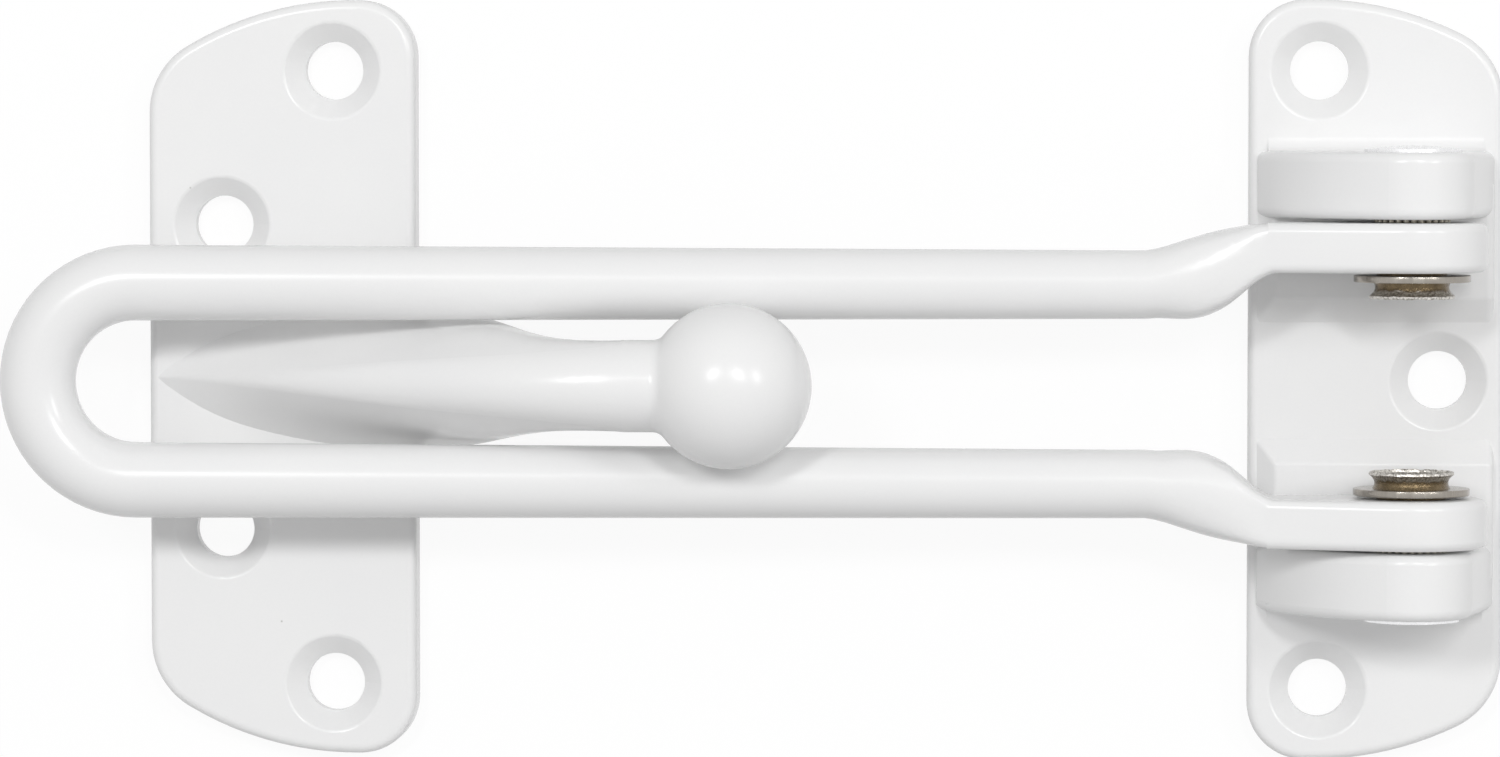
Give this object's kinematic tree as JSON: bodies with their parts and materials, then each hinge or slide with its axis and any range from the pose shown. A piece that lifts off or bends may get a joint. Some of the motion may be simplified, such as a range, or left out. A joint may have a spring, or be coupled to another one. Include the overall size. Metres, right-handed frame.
{
  "type": "swing bar door guard",
  "caption": "White painted swing bar door guard: frame bracket with lugs, hairpin bar hinged on rivets, and a door plate with a ball arm that runs in the bar's slot.",
  "frame": {"origin": "centre of the frame bracket's middle screw hole, on the mounting plane", "axes": "+X along the bar from the door to the frame, +Y along the pivot axis, +Z out from the door"},
  "size_m": [0.1305, 0.0664, 0.0241],
  "materials": {
    "white_paint": "satin white powder coat on zinc die casting",
    "nickel_plate": "nickel plated steel, dulled",
    "bright_steel": "blanked sheet steel, bright"
  },
  "bodies": {
    "frame_bracket": {"frame_bracket": "white_paint", "upper_rivet": "nickel_plate", "lower_rivet": "nickel_plate", "upper_washer": "bright_steel", "lower_washer": "bright_steel"},
    "swing_bar": {"swing_bar": "white_paint"},
    "door_plate": {"door_plate": "white_paint"}
  },
  "joints": [
    {"name": "bar_swing", "type": "hinge", "parent": "frame_bracket", "child": "swing_bar", "pos_m": [-0.0026, 0, 0.011], "axis": [0, 1, 0], "range_deg": [0, 170]},
    {"name": "ball_slide", "type": "slide", "parent": "swing_bar", "child": "door_plate", "axis": [1, 0, 0], "range_m": [-0.015, 0.04]}
  ]
}
